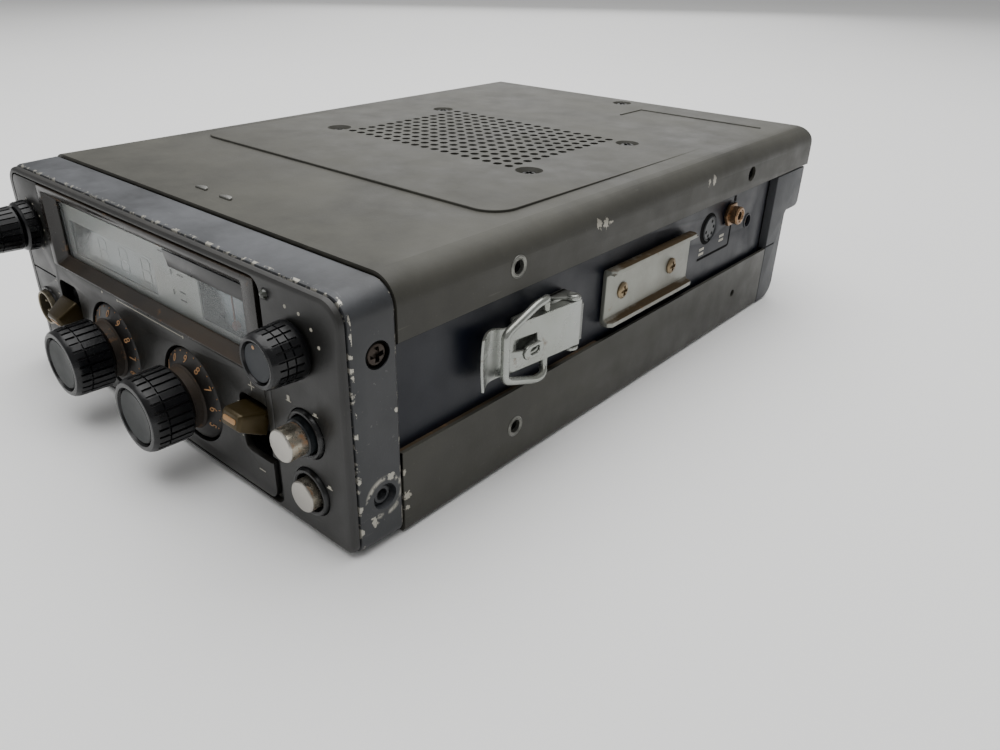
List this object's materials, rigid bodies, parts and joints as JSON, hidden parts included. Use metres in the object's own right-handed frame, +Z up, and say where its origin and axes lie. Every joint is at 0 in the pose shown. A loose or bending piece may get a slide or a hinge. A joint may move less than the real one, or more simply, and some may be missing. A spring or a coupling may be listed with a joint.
{
  "type": "mobile transceiver",
  "caption": "Mobile two-way radio with a display window, twin tuning dials, lever switches, push buttons, a perforated steel cover and side quick-release latches",
  "frame": {"origin": "middle of the underside of the bottom cover, on the plane that the radio rests on", "axes": "+Y runs from the front panel to the rear, +Z is up, +X is to the right as seen from the front"},
  "size_m": [0.1962, 0.285, 0.0756],
  "materials": {
    "bezel_paint": "satin blue-grey enamel, bright metal at the worn edges",
    "panel_plastic": "semi-matt black paint, dusty",
    "window_moulding": "matt black",
    "window_lens": "clear, glossy",
    "mask_grey": "matt pale grey",
    "dark_display": "glossy black",
    "meter_scale": "matt",
    "needle_red": "matt",
    "lamp_lens": "glossy",
    "knob_black": "satin black",
    "cap_grey": "spun, satin",
    "lever_gold": "satin gold, tarnished",
    "button_silver": "satin, rust spots",
    "collar_black": "satin black",
    "plated_steel": "zinc plated",
    "cover_paint": "satin olive-grey enamel, worn",
    "chassis_paint": "satin dark blue-grey enamel",
    "cast_aluminium": "cast, dark grey enamel",
    "socket_metal": "nickel plated, tarnished",
    "brass": "machined brass, tarnished",
    "latch_chrome": "chrome plated, brown rust",
    "speaker_frame": "matt black",
    "speaker_paper": "matt black paper",
    "circuit_board": "green-brown laminate"
  },
  "bodies": {
    "housing": {"front_bezel": "bezel_paint", "front_moulding": "panel_plastic", "control_plate": "panel_plastic", "window_frame": "window_moulding", "window_lens": "window_lens", "display_mask": "mask_grey", "name_plate_blank": "window_moulding", "digit_display": "dark_display", "meter_body": "meter_scale", "busy_lamp": "lamp_lens", "mic_socket": "socket_metal", "power_level_collar": "collar_black", "power_collar": "collar_black", "front_subpanel": "plated_steel", "volume_squelch_control": "plated_steel", "selector_100khz": "plated_steel", "selector_10khz": "plated_steel", "tone_selector": "plated_steel", "power_level_switch": "plated_steel", "power_switch": "plated_steel", "megahertz_switch": "plated_steel", "offset_switch": "plated_steel", "top_cover": "cover_paint", "bottom_cover": "cover_paint", "chassis": "chassis_paint", "rear_heatsink": "cast_aluminium", "antenna_socket": "socket_metal", "power_inlet": "collar_black", "accessory_socket": "collar_black", "phono_jack": "brass", "level_trimmer": "brass", "rail_right": "latch_chrome", "latch_base_right": "latch_chrome", "bezel_screw_right": "plated_steel", "rail_left": "latch_chrome", "latch_base_left": "latch_chrome", "bezel_screw_left": "plated_steel", "speaker_basket": "speaker_frame", "speaker_cone": "speaker_paper", "upper_board": "circuit_board", "lower_board": "circuit_board", "synthesizer_can": "plated_steel", "power_amplifier": "speaker_frame"},
    "squelch": {"squelch_ring": "knob_black"},
    "volume": {"volume_knob": "knob_black"},
    "megahertz": {"megahertz_lever": "lever_gold"},
    "offset": {"offset_lever": "lever_gold"},
    "dial_hundred": {"dial_100khz": "knob_black", "dial_100khz_cap": "cap_grey"},
    "dial_ten": {"dial_10khz": "knob_black", "dial_10khz_cap": "cap_grey"},
    "tone": {"tone_knob": "knob_black", "tone_knob_cap": "cap_grey"},
    "power_level": {"power_level_button": "button_silver"},
    "power": {"power_button": "button_silver"},
    "needle": {"meter_needle": "needle_red"},
    "latch_right": {"latch_lever_right": "latch_chrome"},
    "latch_left": {"latch_lever_left": "latch_chrome"},
    "bail_right": {"latch_bail_right": "latch_chrome"},
    "bail_left": {"latch_bail_left": "latch_chrome"}
  },
  "joints": [
    {"name": "squelch_turn", "type": "hinge", "parent": "housing", "child": "squelch", "pos_m": [-0.0775, -0.129, 0.0543], "axis": [0, 1, 0], "range_deg": [-10, 290]},
    {"name": "volume_turn", "type": "hinge", "parent": "housing", "child": "volume", "pos_m": [-0.0775, -0.138, 0.0543], "axis": [0, 1, 0], "range_deg": [-10, 290]},
    {"name": "megahertz_step", "type": "hinge", "parent": "housing", "child": "megahertz", "pos_m": [-0.0595, -0.118, 0.0315], "axis": [-1, 0, 0], "range_deg": [0, 34]},
    {"name": "offset_step", "type": "hinge", "parent": "housing", "child": "offset", "pos_m": [0.051, -0.118, 0.0258], "axis": [-1, 0, 0], "range_deg": [-36, 0]},
    {"name": "dial_100khz_turn", "type": "hinge", "parent": "housing", "child": "dial_hundred", "pos_m": [-0.03, -0.138, 0.0225], "axis": [0, 1, 0], "continuous": true},
    {"name": "dial_10khz_turn", "type": "hinge", "parent": "housing", "child": "dial_ten", "pos_m": [0.0175, -0.138, 0.0225], "axis": [0, 1, 0], "continuous": true},
    {"name": "tone_turn", "type": "hinge", "parent": "housing", "child": "tone", "pos_m": [0.0726, -0.132, 0.0567], "axis": [0, 1, 0], "range_deg": [0, 90]},
    {"name": "power_level_press", "type": "slide", "parent": "housing", "child": "power_level", "axis": [0, 1, 0], "range_m": [0, 0.0035], "stiffness_N_per_m": 300},
    {"name": "power_press", "type": "slide", "parent": "housing", "child": "power", "axis": [0, 1, 0], "range_m": [0, 0.003], "stiffness_N_per_m": 300},
    {"name": "needle_swing", "type": "hinge", "parent": "housing", "child": "needle", "pos_m": [0.0346, -0.1188, 0.0479], "axis": [0, 1, 0], "range_deg": [-38, 38], "stiffness_Nm_per_rad": 0.0005},
    {"name": "latch_lever_right_open", "type": "hinge", "parent": "housing", "child": "latch_right", "pos_m": [0.0952, -0.041, 0.042], "axis": [0, 0, 1], "range_deg": [0, 105]},
    {"name": "latch_bail_right_swing", "type": "hinge", "parent": "latch_right", "child": "bail_right", "pos_m": [0.0952, -0.053, 0.042], "axis": [0, 0, 1], "range_deg": [0, 110]},
    {"name": "latch_lever_left_open", "type": "hinge", "parent": "housing", "child": "latch_left", "pos_m": [-0.0952, -0.041, 0.042], "axis": [0, 0, -1], "range_deg": [0, 105]},
    {"name": "latch_bail_left_swing", "type": "hinge", "parent": "latch_left", "child": "bail_left", "pos_m": [-0.0952, -0.053, 0.042], "axis": [0, 0, -1], "range_deg": [0, 110]}
  ]
}
